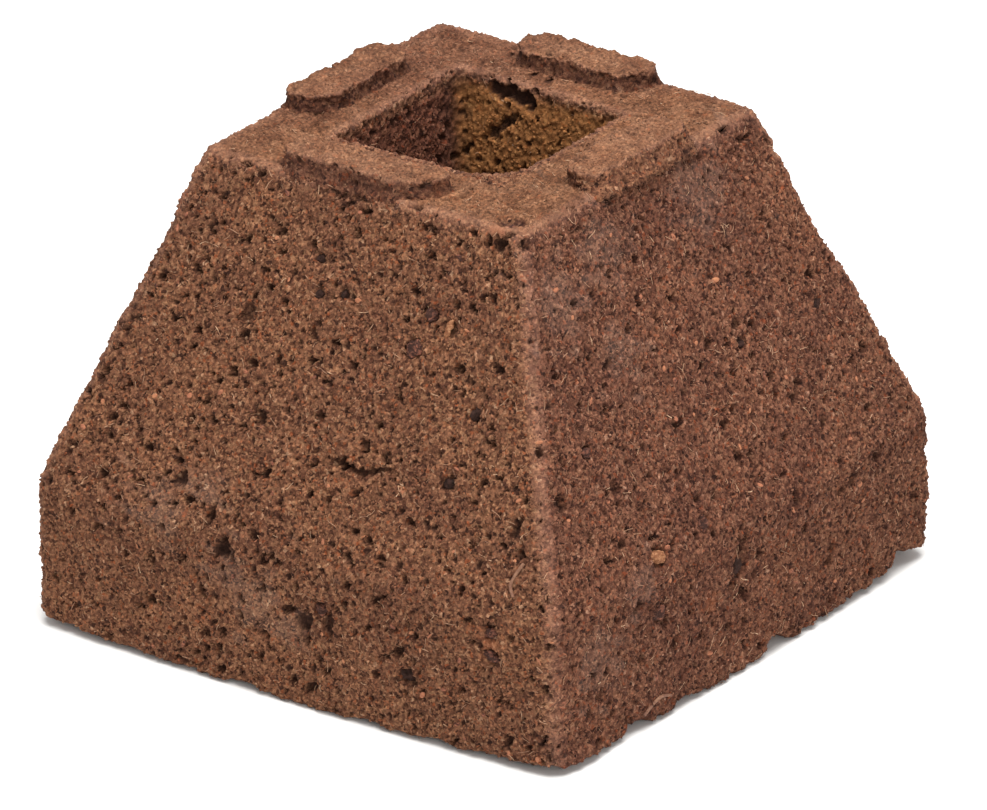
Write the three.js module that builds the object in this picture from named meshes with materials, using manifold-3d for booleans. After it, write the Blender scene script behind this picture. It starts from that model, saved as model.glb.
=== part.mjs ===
// A pressed growing block: a square pyramid frustum of peat and bark fibre on a short upright band,
// with a tapered square hole for a young plant's plug and a raised pad on each side of the hole.
// The block is one moulding. The coarse pieces that lie in its skin, bark chips, peat grains and
// bast fibres, are separate solids, each in a pocket of its own.
// Millimetres, +Z up. The origin is the centre of the underside.

import * as THREE from 'three';
import { mergeVertices } from 'three/addons/utils/BufferGeometryUtils.js';
import Module from 'manifold-3d';

const wasm = await Module();
wasm.setup();

// ---- driving dimensions ----

const CORNER_WIDTH = 80;          // across the band, measured at its corners
const SIDE_BULGE = 0.4;           // how far the middle of each side stands out past its corners
const BAND_HEIGHT = 19.5;         // upright band under the sloping sides
const TOP_PLANE = 62.2;           // height of the flat top around the hole
const TOP_WIDTH = 48.2;           // across the flat top
const BAND_CORNER = 2.4;          // plan radius of the band's corners
const TOP_CORNER = 1.6;           // plan radius of the top's corners
const EDGE_WEAR = 0.8;            // rounding of the lower and upper edges

const HOLE_MOUTH = 25.6;          // across the square hole at the top
const HOLE_FLOOR_WIDTH = 20;      // across the hole just above its floor
const HOLE_DEPTH = 36;
const HOLE_CORNER = 2.6;          // plan radius of the hole's corners
const HOLE_FILLET = 1.6;          // where the hole's walls meet its floor

const PAD_LENGTH = 20.4;          // along the side of the top
const PAD_WIDTH = 6.4;            // from the hole side to the outer side
const PAD_HEIGHT = 2.3;           // above the flat top
const PAD_CENTRE = 20.2;          // from the block's axis to a pad's centre line
const PAD_CORNER = 2.9;           // plan radius of a pad's ends
const PAD_DRAFT = 0.35;           // how far a pad's side leans in over its height

const SEAT_GAP = 0.3;             // clearance between an inset piece and its pocket
const PROUD = 0.25;               // how far an inset piece stands out of the face, at most
const FIBRE_RADIUS = 0.22;

const ARC_STEPS = 4;              // facets on each corner arc
const SIDE_STEPS = 8;             // facets along each bulging side
const LUMP_DETAIL = 1;            // subdivision of the chips and grains
const DENT_DEPTH = 0.16;          // of a chip's or grain's own size
const STRAND_STEPS = 10;          // lengths along a fibre
const STRAND_SIDES = 4;           // facets on each half of its section

// ---- materials ----

function material(color, roughness) {
  return new THREE.MeshStandardMaterial({ color, roughness, metalness: 0 });
}

const peatFibre = material(0x8a5d49, 0.96);
const redBark = material(0xa8583c, 0.85);
const paleWood = material(0xc79a78, 0.8);
const darkPeat = material(0x4a3129, 0.95);
const bastFibre = material(0xd2ab8c, 0.75);

// ---- solids ----

function toSolid(geometry) {
  const bare = geometry.clone();
  bare.deleteAttribute('normal');
  bare.deleteAttribute('uv');
  const merged = mergeVertices(bare, 1e-4);
  return new wasm.Manifold(new wasm.Mesh({
    numProp: 3,
    vertProperties: new Float32Array(merged.attributes.position.array),
    triVerts: new Uint32Array(merged.index.array),
  }));
}

function toGeometry(solid) {
  const mesh = solid.getMesh();
  const geometry = new THREE.BufferGeometry();
  geometry.setAttribute('position', new THREE.BufferAttribute(mesh.vertProperties, 3));
  geometry.setIndex(new THREE.BufferAttribute(mesh.triVerts, 1));
  geometry.computeVertexNormals();
  return geometry;
}

// A rectangle with round corners whose sides bow out by bulge at their middle, anticlockwise.
function outline(halfX, halfY, corner, bulge) {
  const points = [];
  const straightX = halfX - corner;
  const straightY = halfY - corner;
  for (let side = 0; side < 4; side += 1) {
    const turned = side % 2 === 1;
    const reach = turned ? halfY : halfX;
    const run = turned ? straightX : straightY;
    const start = new THREE.Vector2(reach, -run);
    const middle = new THREE.Vector2(reach + 2 * bulge, 0);
    const end = new THREE.Vector2(reach, run);
    const edge = new THREE.QuadraticBezierCurve(start, middle, end);
    const arc = new THREE.EllipseCurve(reach - corner, run, corner, corner, 0, Math.PI / 2);
    const sidePoints = [...edge.getPoints(SIDE_STEPS), ...arc.getPoints(ARC_STEPS).slice(1, -1)];
    const pivot = new THREE.Vector2(0, 0);
    points.push(...sidePoints.map((point) => point.rotateAround(pivot, side * Math.PI / 2)));
  }
  return points;
}

// A closed skin through outlines of one point count, stacked from the lowest to the highest.
function loft(sections) {
  const count = sections[0].points.length;
  const positions = sections.flatMap(({ points, z }) => points.flatMap((p) => [p.x, p.y, z]));
  const index = [];
  for (let level = 0; level < sections.length - 1; level += 1) {
    for (let step = 0; step < count; step += 1) {
      const low = level * count + step;
      const lowNext = level * count + (step + 1) % count;
      index.push(low, lowNext, lowNext + count, low, lowNext + count, low + count);
    }
  }
  const lastLevel = (sections.length - 1) * count;
  for (const [a, b, c] of THREE.ShapeUtils.triangulateShape(sections[0].points, [])) {
    index.push(c, b, a);
    index.push(a + lastLevel, b + lastLevel, c + lastLevel);
  }
  const geometry = new THREE.BufferGeometry();
  geometry.setAttribute('position', new THREE.Float32BufferAttribute(positions, 3));
  geometry.setIndex(index);
  return geometry;
}

// ---- the moulded block ----

// The outer wall from the ground up: half width at the corners, corner radius and bulge at a height.
const FOOT_HALF = CORNER_WIDTH / 2;
const TOP_HALF = TOP_WIDTH / 2;
const WALL = [
  { z: 0, half: FOOT_HALF - EDGE_WEAR, corner: BAND_CORNER - EDGE_WEAR, bulge: SIDE_BULGE },
  { z: EDGE_WEAR, half: FOOT_HALF, corner: BAND_CORNER, bulge: SIDE_BULGE },
  { z: BAND_HEIGHT - EDGE_WEAR, half: FOOT_HALF, corner: BAND_CORNER, bulge: SIDE_BULGE },
  { z: BAND_HEIGHT + EDGE_WEAR, half: FOOT_HALF - EDGE_WEAR / 3, corner: BAND_CORNER, bulge: SIDE_BULGE },
  { z: TOP_PLANE - EDGE_WEAR, half: TOP_HALF + EDGE_WEAR / 8, corner: TOP_CORNER, bulge: 0 },
  { z: TOP_PLANE, half: TOP_HALF - EDGE_WEAR, corner: TOP_CORNER - EDGE_WEAR, bulge: 0 },
];

function bodySolid() {
  const sections = WALL.map(({ z, half, corner, bulge }) => (
    { z, points: outline(half, half, corner, bulge) }
  ));
  return toSolid(loft(sections));
}

function holeSolid() {
  const floor = TOP_PLANE - HOLE_DEPTH;
  const mouthHalf = HOLE_MOUTH / 2;
  const floorHalf = HOLE_FLOOR_WIDTH / 2;
  const overrun = 2;
  const flare = overrun * (mouthHalf - floorHalf) / HOLE_DEPTH;
  const square = (half, corner) => outline(half, half, corner, 0);
  return toSolid(loft([
    { z: floor, points: square(floorHalf - HOLE_FILLET, HOLE_CORNER) },
    { z: floor + HOLE_FILLET / 3, points: square(floorHalf - HOLE_FILLET / 3, HOLE_CORNER) },
    { z: floor + HOLE_FILLET, points: square(floorHalf, HOLE_CORNER) },
    { z: TOP_PLANE, points: square(mouthHalf, HOLE_CORNER) },
    { z: TOP_PLANE + overrun, points: square(mouthHalf + flare, HOLE_CORNER) },
  ]));
}

function padSolid(quarterTurn) {
  const root = 1;
  const crown = 0.6;
  const section = (z, inset) => ({
    z: TOP_PLANE + z,
    points: outline(PAD_WIDTH / 2 - inset, PAD_LENGTH / 2 - inset, PAD_CORNER - inset, 0),
  });
  const pad = loft([
    section(-root, 0),
    section(0, 0),
    section(PAD_HEIGHT - crown, PAD_DRAFT),
    section(PAD_HEIGHT, PAD_DRAFT + crown),
  ]);
  pad.translate(PAD_CENTRE, 0, 0);
  pad.rotateZ(quarterTurn * Math.PI / 2);
  return toSolid(pad);
}

function blockSolid() {
  let block = bodySolid();
  for (let quarterTurn = 0; quarterTurn < 4; quarterTurn += 1) {
    block = block.add(padSolid(quarterTurn));
  }
  return block.subtract(holeSolid());
}

// ---- places on the faces ----

// The wall's reach from the axis at a height and at a distance along the face, and its slope there.
function wallAt(z, along) {
  const upper = WALL.findIndex((level, i) => i > 0 && level.z >= z);
  const [low, high] = [WALL[upper - 1], WALL[upper]];
  const share = (z - low.z) / (high.z - low.z);
  const half = THREE.MathUtils.lerp(low.half, high.half, share);
  const bulge = THREE.MathUtils.lerp(low.bulge, high.bulge, share);
  const lean = (low.half - high.half) / (high.z - low.z);
  return { reach: half + bulge * (1 - (along / half) ** 2), lean };
}

// face is the outward direction of a side, -X or -Y; along runs in +Y or +X.
const FACES = {
  minusX: { out: new THREE.Vector3(-1, 0, 0), along: new THREE.Vector3(0, 1, 0) },
  minusY: { out: new THREE.Vector3(0, -1, 0), along: new THREE.Vector3(1, 0, 0) },
};

function sidePlace(face, along, z) {
  const { reach, lean } = wallAt(z, along);
  const { out, along: axis } = FACES[face];
  const point = out.clone().multiplyScalar(reach).addScaledVector(axis, along).setZ(z);
  const normal = out.clone().add(new THREE.Vector3(0, 0, lean)).normalize();
  const room = (FOOT_HALF + SIDE_BULGE - reach) / normal.dot(out);
  return { point, normal, axis, proud: Math.min(PROUD, room) };
}

function topPlace(x, y) {
  const normal = new THREE.Vector3(0, 0, 1);
  return { point: new THREE.Vector3(x, y, TOP_PLANE), normal, axis: FACES.minusY.along, proud: PROUD };
}

// ---- inset pieces ----

// A worn lump: a sphere squared off by boxiness, dented by a few waves that seed shifts.
function lump([length, width, thickness], boxiness, seed, grow) {
  const geometry = new THREE.IcosahedronGeometry(1, LUMP_DETAIL);
  const position = geometry.attributes.position;
  const half = new THREE.Vector3(length, width, thickness).multiplyScalar(0.5).addScalar(grow);
  const vertex = new THREE.Vector3();
  for (let i = 0; i < position.count; i += 1) {
    vertex.fromBufferAttribute(position, i);
    const { x, y, z } = vertex;
    const dent = Math.sin(3.1 * x + seed) * Math.sin(2.7 * y + 2 * seed) * Math.cos(2.3 * z + 3 * seed);
    const square = (Math.abs(x) ** 4 + Math.abs(y) ** 4 + Math.abs(z) ** 4) ** -0.25;
    vertex.multiplyScalar(THREE.MathUtils.lerp(1, square, boxiness) * (1 + DENT_DEPTH * dent));
    vertex.multiply(half);
    position.setXYZ(i, vertex.x, vertex.y, vertex.z);
  }
  return geometry;
}

// Turns a lump from its own axes (length X, width Y, thickness Z) into its place on a face.
function seatMatrix({ point, normal, axis, proud }, turn, thickness) {
  const across = new THREE.Vector3().crossVectors(normal, axis).normalize();
  const basis = new THREE.Matrix4().makeBasis(axis, across, normal);
  const spin = new THREE.Matrix4().makeRotationZ(THREE.MathUtils.degToRad(turn));
  const centre = point.clone().addScaledVector(normal, proud - thickness / 2);
  return basis.multiply(spin).setPosition(centre);
}

function lumpPiece(name, place, size, turn, boxiness, look) {
  const seed = name.length + 0.37 * size[0] + turn / 90;
  const matrix = seatMatrix(place, turn, size[2]);
  return {
    name,
    look,
    solid: toSolid(lump(size, boxiness, seed, 0).applyMatrix4(matrix)),
    pocket: toSolid(lump(size, boxiness, seed, SEAT_GAP).applyMatrix4(matrix)),
  };
}

function strand(points, radius, overrun) {
  const curve = new THREE.CatmullRomCurve3(points);
  const ends = [curve.getTangentAt(0), curve.getTangentAt(1)];
  const stretched = [
    points[0].clone().addScaledVector(ends[0], -overrun),
    ...points,
    points[points.length - 1].clone().addScaledVector(ends[1], overrun),
  ];
  const path = new THREE.CatmullRomCurve3(overrun > 0 ? stretched : points);
  const section = new THREE.Shape().absarc(0, 0, radius, 0, 2 * Math.PI);
  const facets = { steps: STRAND_STEPS, curveSegments: STRAND_SIDES };
  return new THREE.ExtrudeGeometry(section, { ...facets, extrudePath: path });
}

function strandPiece(name, places) {
  const points = places.map(({ point, normal }) => (
    point.clone().addScaledVector(normal, -FIBRE_RADIUS)
  ));
  return {
    name,
    look: bastFibre,
    solid: toSolid(strand(points, FIBRE_RADIUS, 0)),
    pocket: toSolid(strand(points, FIBRE_RADIUS + SEAT_GAP, SEAT_GAP)),
  };
}

const FLAKE = 0.55;               // boxiness of a chip
const ROUND = 0.1;                // boxiness of a grain

function chip(name, place, size, turn, look) {
  return lumpPiece(name, place, size, turn, FLAKE, look);
}

function grain(name, place, size, turn) {
  return lumpPiece(name, place, size, turn, ROUND, darkPeat);
}

const insets = [
  chip('bark_chip_top_corner', topPlace(-21.4, -20.6), [3.4, 2.0, 1.2], 8, redBark),
  chip('bark_chip_band_corner_upper', sidePlace('minusX', -30.5, 17.2), [2.0, 1.4, 1.0], 10, redBark),
  chip('bark_chip_band_corner_lower', sidePlace('minusX', -30.5, 14.2), [2.4, 1.4, 1.0], -15, redBark),
  chip('bark_chip_left_slope_low', sidePlace('minusX', -12, 46.4), [2.6, 2.0, 1.2], 35, redBark),
  chip('bark_chip_left_slope_high', sidePlace('minusX', -13.5, 50.6), [2.0, 1.5, 1.1], 70, redBark),
  chip('wood_splinter_left_slope', sidePlace('minusX', -16.4, 49.6), [2.6, 0.8, 0.8], 78, paleWood),
  chip('bark_chip_left_band', sidePlace('minusX', -5.1, 13.9), [1.8, 1.4, 1.0], 20, redBark),
  chip('wood_chip_right_slope', sidePlace('minusY', -17.9, 21.4), [2.8, 1.7, 1.1], -28, paleWood),
  chip('bark_chip_right_band', sidePlace('minusY', -18.8, 14.5), [2.8, 1.9, 1.2], 12, redBark),
  chip('bark_chip_right_slope_low', sidePlace('minusY', -8.2, 22.2), [2.0, 1.6, 1.0], 50, redBark),
  chip('bark_chip_right_slope_high', sidePlace('minusY', -24.6, 36.1), [1.8, 1.4, 1.0], -40, redBark),
  grain('peat_grain_left_top', sidePlace('minusX', 4.1, 53.4), [1.9, 1.6, 1.5], 0),
  grain('peat_grain_left_upper', sidePlace('minusX', 3.2, 49.4), [1.7, 1.6, 1.4], 30),
  grain('peat_grain_left_middle', sidePlace('minusX', -0.4, 50.2), [1.7, 1.5, 1.4], 60),
  grain('peat_grain_left_ridge', sidePlace('minusX', -22.4, 41.1), [2.2, 1.6, 1.6], 70),
  grain('peat_grain_left_lower', sidePlace('minusX', -20.8, 32.7), [2.0, 1.8, 1.6], 15),
  grain('peat_grain_left_band', sidePlace('minusX', -17.8, 8.3), [2.0, 1.6, 1.5], 40),
  grain('peat_grain_right_band', sidePlace('minusY', -2.5, 14.6), [2.8, 1.9, 1.7], 65),
  grain('peat_grain_right_middle', sidePlace('minusY', 8.8, 38.5), [1.9, 1.5, 1.4], 80),
  grain('peat_grain_right_upper', sidePlace('minusY', 24.9, 37.9), [1.8, 1.6, 1.4], 25),
  strandPiece('bast_fibre_corner', [
    sidePlace('minusX', -33.8, 26.4),
    sidePlace('minusX', -33.0, 24.9),
    sidePlace('minusX', -32.6, 23.6),
    sidePlace('minusX', -33.3, 22.4),
  ]),
  strandPiece('bast_fibre_lower_edge', [
    sidePlace('minusY', -22.6, 2.2),
    sidePlace('minusY', -20.8, 3.0),
    sidePlace('minusY', -19.0, 3.4),
    sidePlace('minusY', -17.0, 2.8),
  ]),
  strandPiece('bast_fibre_hole_rim', [
    topPlace(-14.6, 4.2),
    topPlace(-14.9, 2.6),
    topPlace(-14.7, 1.0),
    topPlace(-15.1, -0.8),
  ]),
];

// ---- assembly ----

function namedMesh(name, solid, look) {
  const mesh = new THREE.Mesh(toGeometry(solid), look);
  mesh.name = name;
  return mesh;
}

const growingBlock = new THREE.Group();
const pocketed = insets.reduce((block, { pocket }) => block.subtract(pocket), blockSolid());
growingBlock.add(namedMesh('moulded_block', pocketed, peatFibre));
for (const { name, solid, look } of insets) {
  growingBlock.add(namedMesh(name, solid, look));
}

export default growingBlock;
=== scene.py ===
import math

import bmesh
import bpy
import numpy as np
from mathutils import Matrix, Vector


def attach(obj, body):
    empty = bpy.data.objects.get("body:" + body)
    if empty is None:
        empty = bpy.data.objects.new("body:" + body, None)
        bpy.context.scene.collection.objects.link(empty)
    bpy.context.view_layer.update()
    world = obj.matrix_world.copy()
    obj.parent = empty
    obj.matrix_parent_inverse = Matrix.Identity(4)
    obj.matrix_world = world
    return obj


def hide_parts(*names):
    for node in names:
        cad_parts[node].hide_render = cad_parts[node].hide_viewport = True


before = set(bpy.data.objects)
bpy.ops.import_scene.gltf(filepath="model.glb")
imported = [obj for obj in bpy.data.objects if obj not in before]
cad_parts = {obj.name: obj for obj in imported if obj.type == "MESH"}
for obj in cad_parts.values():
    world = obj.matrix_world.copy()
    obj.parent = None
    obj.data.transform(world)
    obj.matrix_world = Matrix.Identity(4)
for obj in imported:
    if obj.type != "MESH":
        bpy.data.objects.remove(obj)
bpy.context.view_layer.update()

# A pressed growing block: one moulding of peat and bark fibre, with the coarse chips, grains and
# fibres that the pressing caught in its skin. Lengths below are millimetres unless they say otherwise.

MM = 0.001

# ---- sizes of the moulding ----

# They are the frame's, but for a fuller bow of the sides and a smaller radius at the top's corners.

CORNER_WIDTH = 80.0          # across the band at its corners
SIDE_BULGE = 0.7             # how far the middle of a side stands out past its corners
CORNER_LIFT = 1.05           # how far the foot of a corner is off the floor
RIGHT_CORNER_LIFT = 1.5      # the +X -Y corner has shrunk most
BAND_HEIGHT = 19.5
TOP_PLANE = 62.2
TOP_WIDTH = 48.2
BAND_CORNER = 2.4            # plan radii of the corners
TOP_CORNER = 1.5
HOLE_MOUTH = 25.6
HOLE_FLOOR_WIDTH = 20.0
HOLE_DEPTH = 36.0
HOLE_SHIFT = 0.7             # the mouth sits a little towards +X and +Y of the middle

PAD_WIDTH = 6.4
PAD_HEIGHT = 2.3
PAD_CORNER = 2.9

# ---- how finely the skin is divided ----

COLUMNS = 340          # across one side, from corner to corner
SIDE_STEP = 0.24      # between rows on the sides
HOLE_STEP = 0.45       # down the hole
UNDER_STEP = 1.0       # across the underside

LEVELS = [0, BAND_HEIGHT, TOP_PLANE]     # plan sizes run evenly from one of these heights to the next
HOLE_EDGE = HOLE_MOUTH / 2 + HOLE_SHIFT  # where the hole's +X and +Y walls meet the top

SIDE_NAMES = ["plus_x", "plus_y", "minus_x", "minus_y"]
ZONE_UNDER, ZONE_TOP, ZONE_HOLE = 4, 5, 6    # zones 0 to 3 are the sides, in SIDE_NAMES' order
ROUNDING = 1e-6              # two reaches closer than this are the same
ABOVE_UNDERSIDE = 20         # higher than this, a point near the axis is in the hole


# ---- node trees ----

MATH, VECTOR_MATH = "ShaderNodeMath", "ShaderNodeVectorMath"
NOISE, CELLS, RANGE = "ShaderNodeTexNoise", "ShaderNodeTexVoronoi", "ShaderNodeMapRange"
MARK, SHADER_MARK = "GeometryNodeInputNamedAttribute", "ShaderNodeAttribute"
RAMP, MOVE = "ShaderNodeValToRGB", "GeometryNodeSetPosition"

PLUS, MINUS = {"operation": "ADD"}, {"operation": "SUBTRACT"}
TIMES, OVER = {"operation": "MULTIPLY"}, {"operation": "DIVIDE"}
TIMES_PLUS, SCALED = {"operation": "MULTIPLY_ADD"}, {"operation": "SCALE"}
LARGER, LESS = {"operation": "MAXIMUM"}, {"operation": "LESS_THAN"}

NOISE_MIDDLE = (0.5, 0.5, 0.5)       # what noise has on average, in each of its three channels


def colour(code):
    """A linear colour from an sRGB hex code."""
    parts = [int(code[i:i + 2], 16) / 255 for i in (1, 3, 5)]
    linear = [p / 12.92 if p <= 0.04045 else ((p + 0.055) / 1.055) ** 2.4 for p in parts]
    return (*linear, 1.0)


def set_stops(elements, stops):
    """Gives a colour ramp its (position, hex code) stops."""
    elements[0].position, elements[0].color = stops[0][0], colour(stops[0][1])
    elements[1].position, elements[1].color = stops[-1][0], colour(stops[-1][1])
    for position, code in stops[1:-1]:
        elements.new(position).color = colour(code)


def add(tree, kind, settings=None, links=None):
    """Adds a node. links maps an input, by name or number, to a node, a socket or a value."""
    node = tree.nodes.new(kind)
    for name, value in (settings or {}).items():
        if name == "stops":
            set_stops(node.color_ramp.elements, value)
        else:
            setattr(node, name, value)
    for key, value in (links or {}).items():
        named = [s for s in node.inputs if s.name == key and s.enabled]
        socket = node.inputs[key] if isinstance(key, int) else named[0]
        if isinstance(value, bpy.types.Node):
            value = next(s for s in value.outputs if s.enabled)
        if isinstance(value, bpy.types.NodeSocket):
            tree.links.new(value, socket)
        else:
            socket.default_value = value
    return node


def shape_tree(name, inputs):
    """A Geometry Nodes tree with a mesh in and out, and float inputs with their defaults."""
    tree = bpy.data.node_groups.new(name, "GeometryNodeTree")
    tree.interface.new_socket("Skin", in_out="INPUT", socket_type="NodeSocketGeometry")
    tree.interface.new_socket("Shape", in_out="OUTPUT", socket_type="NodeSocketGeometry")
    for label, value in inputs.items():
        kind = {int: "NodeSocketInt", float: "NodeSocketFloat"}.get(type(value), "NodeSocketMaterial")
        socket = tree.interface.new_socket(label, in_out="INPUT", socket_type=kind)
        if value is not None:
            socket.default_value = value
    return tree, tree.nodes.new("NodeGroupInput"), tree.nodes.new("NodeGroupOutput")


def grown_mesh(name, mesh, tree, values):
    """The plain mesh that a tree makes of mesh, with the tree's inputs set to values."""
    carrier = bpy.data.objects.new(name + "_carrier", mesh)
    bpy.context.scene.collection.objects.link(carrier)
    modifier = carrier.modifiers.new(name, "NODES")
    modifier.node_group = tree
    sockets = {s.name: s.identifier for s in tree.interface.items_tree if s.in_out == "INPUT"}
    for label, value in values.items():
        modifier[sockets[label]] = value
    evaluated = carrier.evaluated_get(bpy.context.evaluated_depsgraph_get())
    made = bpy.data.meshes.new_from_object(evaluated)
    made.name = name
    bpy.data.objects.remove(carrier)
    return made


def millimetres(tree):
    """Each point's own place, in millimetres."""
    place = add(tree, "GeometryNodeInputPosition")
    return add(tree, VECTOR_MATH, SCALED, {0: place, "Scale": 1 / MM})


def end_tree(tree, geometry, given, out):
    """Ends a shape tree: real geometry, in the material that the tree was given."""
    real = add(tree, "GeometryNodeRealizeInstances", None, {0: geometry})
    surface = given.outputs["Surface"]
    made = add(tree, "GeometryNodeSetMaterial", None, {"Geometry": real, "Material": surface})
    tree.links.new(made.outputs[0], out.inputs[0])
    return tree


# ---- meshes ----

def points_of(mesh):
    """A mesh's points, in millimetres."""
    flat = np.zeros(3 * len(mesh.vertices), np.float32)
    mesh.vertices.foreach_get("co", flat)
    return flat.reshape(-1, 3) / MM


def put_points(mesh, points):
    """Moves a mesh's points to places in millimetres."""
    mesh.vertices.foreach_set("co", (np.asarray(points) * MM).astype(np.float32).ravel())


def mesh_from(name, points, triangles):
    """A mesh from points in millimetres and triangles."""
    mesh = bpy.data.meshes.new(name)
    mesh.vertices.add(len(points))
    put_points(mesh, points)
    mesh.loops.add(3 * len(triangles))
    mesh.loops.foreach_set("vertex_index", np.asarray(triangles).astype(np.int32).ravel())
    mesh.polygons.add(len(triangles))
    mesh.polygons.foreach_set("loop_start", np.arange(0, 3 * len(triangles), 3, dtype=np.int32))
    mesh.update(calc_edges=True)
    return mesh


def set_values(mesh, name, domain, values):
    """Stores a mark on a mesh."""
    kind = "INT" if values.dtype.kind == "i" else "FLOAT"
    mesh.attributes.new(name, kind, domain).data.foreach_set("value", values)


def get_values(mesh, name, count):
    """Reads a mark back from a mesh's points."""
    values = np.zeros(count, np.float32)
    mesh.attributes[name].data.foreach_get("value", values)
    return values


def finish_piece(name, mesh, material, slot, nodes=()):
    """Puts a finished mesh in the scene as a piece of the object."""
    piece = bpy.data.objects.new(name, mesh)
    bpy.context.scene.collection.objects.link(piece)
    mesh.materials.clear()
    mesh.materials.append(material)
    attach(piece, "root")
    if nodes:
        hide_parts(*nodes)
    return piece


# ---- the moulding's skin ----

def smooth_share(value, low, high):
    """0 below low, 1 above high, and a smooth rise between."""
    share = np.clip((value - low) / (high - low), 0, 1)
    return share * share * (3 - 2 * share)


def path_through(knots):
    """Samples straight runs with rounded corners. A knot is (half width, height, radius, step after)."""
    places = [np.array(knot[:2], float) for knot in knots]
    points = [places[0][None]]
    start = places[0]
    for index in range(1, len(knots)):
        step = knots[index - 1][3]
        corner = places[index]
        ahead = (corner - places[index - 1]) / np.linalg.norm(corner - places[index - 1])
        tangent = 0.0
        if index < len(knots) - 1:
            onward = (places[index + 1] - corner) / np.linalg.norm(places[index + 1] - corner)
            turn = math.acos(float(np.clip(ahead @ onward, -1, 1)))
            tangent = knots[index][2] * math.tan(turn / 2)
        stop = corner - ahead * tangent
        count = max(1, round(np.linalg.norm(stop - start) / step))
        points.append(start + (stop - start) * np.linspace(0, 1, count + 1)[1:, None])
        start = stop
        if tangent:
            leave = corner + onward * tangent
            fine = min(step, knots[index][3])
            count = max(3, round(2 * tangent / fine))
            share = np.linspace(0, 1, count + 1)[1:, None]
            points.append((1 - share) ** 2 * stop + 2 * share * (1 - share) * corner + share ** 2 * leave)
            start = leave
    return np.concatenate(points)


def ring(half, corner, bulge, columns):
    """A square ring with round corners and bowed sides. Side by side from +X, anticlockwise."""
    share = np.linspace(-1, 1, columns, endpoint=False)
    straight = half - corner
    run = share * (straight + corner * math.pi / 4)
    turn = np.clip((np.abs(run) - straight) / corner, 0, math.pi / 4)
    along = np.where(turn > 0, np.sign(run) * (straight + corner * np.sin(turn)), run)
    bow = bulge * np.clip(1 - (run / straight) ** 2, 0, 1)
    out = half - corner * (1 - np.cos(turn)) + bow
    sides = [(out, along), (-along, out), (-out, -along), (along, -out)]
    return np.stack([np.concatenate(axis) for axis in zip(*sides)], axis=1)


def stitch(low, high):
    """Triangles between two closed rings of vertex numbers; low may have as many as high or twice."""
    if len(low) == len(high):
        low_next, high_next = np.roll(low, -1), np.roll(high, -1)
        return np.concatenate([np.stack([low, low_next, high_next], 1), np.stack([low, high_next, high], 1)])
    first, middle, last = low[0::2], low[1::2], np.roll(low[0::2], -1)
    high_next = np.roll(high, -1)
    return np.concatenate([
        np.stack([first, middle, high], 1),
        np.stack([middle, high_next, high], 1),
        np.stack([middle, last, high_next], 1),
    ])


def ripple(along, wavelengths, seed):
    """An uneven line: waves of the given lengths with seeded phases, about -1 to 1."""
    phases = np.random.default_rng(seed).uniform(0, 2 * math.pi, len(wavelengths))
    waves = [np.sin(2 * math.pi * along / w + p) for w, p in zip(wavelengths, phases)]
    return np.sum(waves, axis=0) / math.sqrt(len(wavelengths))


def lumpy(points, width, seed):
    """An uneven field of seeded waves about as wide as given, between about -1 and 1."""
    rng = np.random.default_rng(seed)
    total = np.zeros(len(points))
    for _ in range(5):
        heading = rng.normal(size=3)
        heading *= rng.uniform(0.7, 1.5) * 2 * math.pi / (width * np.linalg.norm(heading))
        total += np.sin(points @ heading + rng.uniform(0, 2 * math.pi))
    return total / 2.4


def settle_top(points):
    """The top was lifted out of its mould a little askew: its far corner stands highest."""
    rise = smooth_share(points[:, 2], BAND_HEIGHT, TOP_PLANE)
    shift = np.tile([0.25, -0.15, 0.5], (len(points), 1))
    shift[:, 2] *= np.clip((points[:, 0] + points[:, 1]) / TOP_WIDTH, 0, 1)
    return points + rise[:, None] * shift


# The outline of half the block, from the middle of the underside round to the middle of the hole's floor.
HOLE_FLOOR = TOP_PLANE - HOLE_DEPTH
OUTLINE = [
    (0.4, 0.0, 0.0, UNDER_STEP),
    (CORNER_WIDTH / 2, 0.0, 1.3, SIDE_STEP),
    (CORNER_WIDTH / 2, BAND_HEIGHT, 4.0, SIDE_STEP),
    (TOP_WIDTH / 2, TOP_PLANE, 1.5, SIDE_STEP),
    (HOLE_MOUTH / 2, TOP_PLANE, 0.9, SIDE_STEP),
    (HOLE_MOUTH / 2 - 1.4, TOP_PLANE - 18, 9.0, HOLE_STEP),
    (HOLE_FLOOR_WIDTH / 2, HOLE_FLOOR, 1.6, HOLE_STEP),
    (0.4, HOLE_FLOOR, 0.0, HOLE_STEP),
]

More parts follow.
